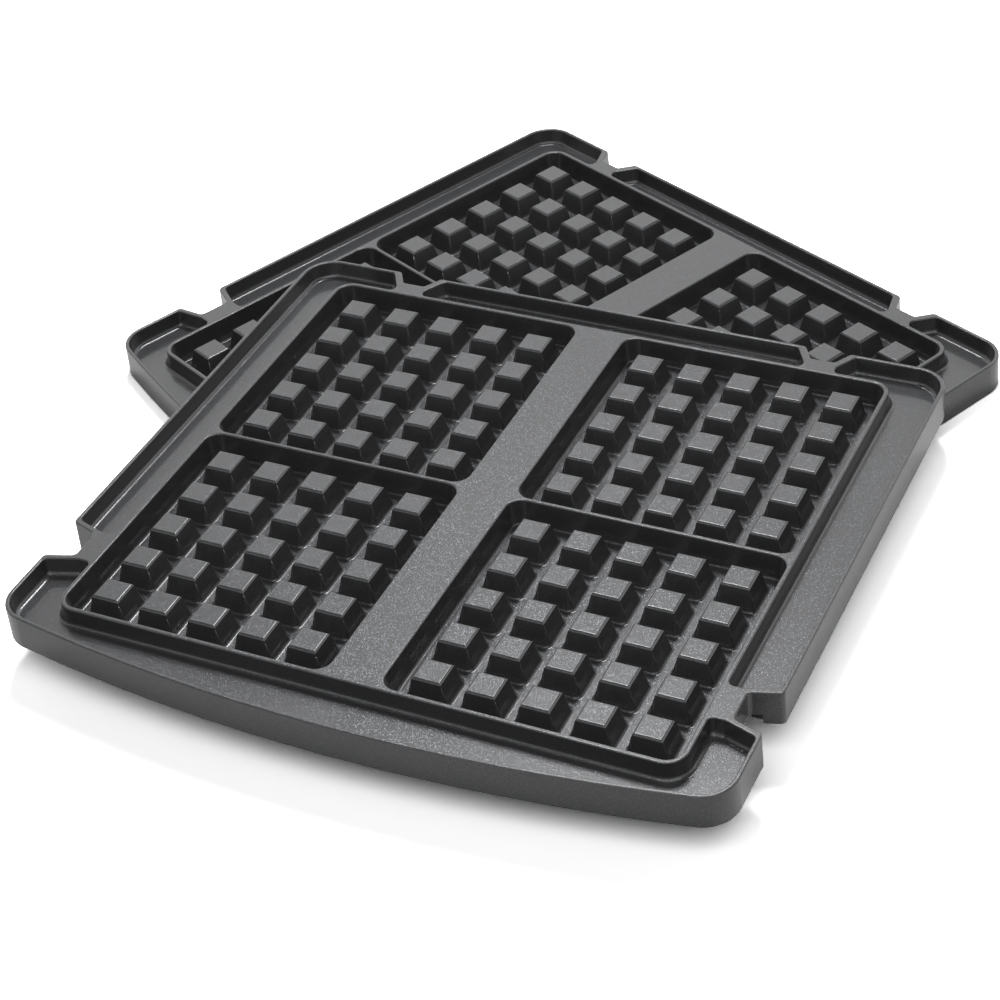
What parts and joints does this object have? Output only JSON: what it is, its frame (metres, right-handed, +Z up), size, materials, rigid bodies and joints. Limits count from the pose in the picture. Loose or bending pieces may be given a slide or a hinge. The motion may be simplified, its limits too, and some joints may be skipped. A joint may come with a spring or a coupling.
{
  "type": "waffle plate set",
  "caption": "Removable cast waffle plates for a contact grill: square pockets of tapered pegs, a drip channel, a raised lip and locating notches, one plate lying across the other.",
  "frame": {"origin": "middle of the lower plate's underside, on the table: where the lines between its four pockets cross", "axes": "+Z up; +Y towards the lower plate's straight rear edge, away from its bowed front; +X to that plate's right"},
  "size_m": [0.3629, 0.358, 0.0263],
  "materials": {
    "coated_casting": "die casting with a dark grey satin non-stick coating that holds fine pale flecks"
  },
  "bodies": {
    "lower_plate": {"lower_plate": "coated_casting"},
    "upper_plate": {"upper_plate": "coated_casting"}
  },
  "joints": [
    {"name": "lift_off", "type": "slide", "parent": "lower_plate", "child": "upper_plate", "axis": [0, 0, 1], "range_m": [0, 0.12]}
  ]
}
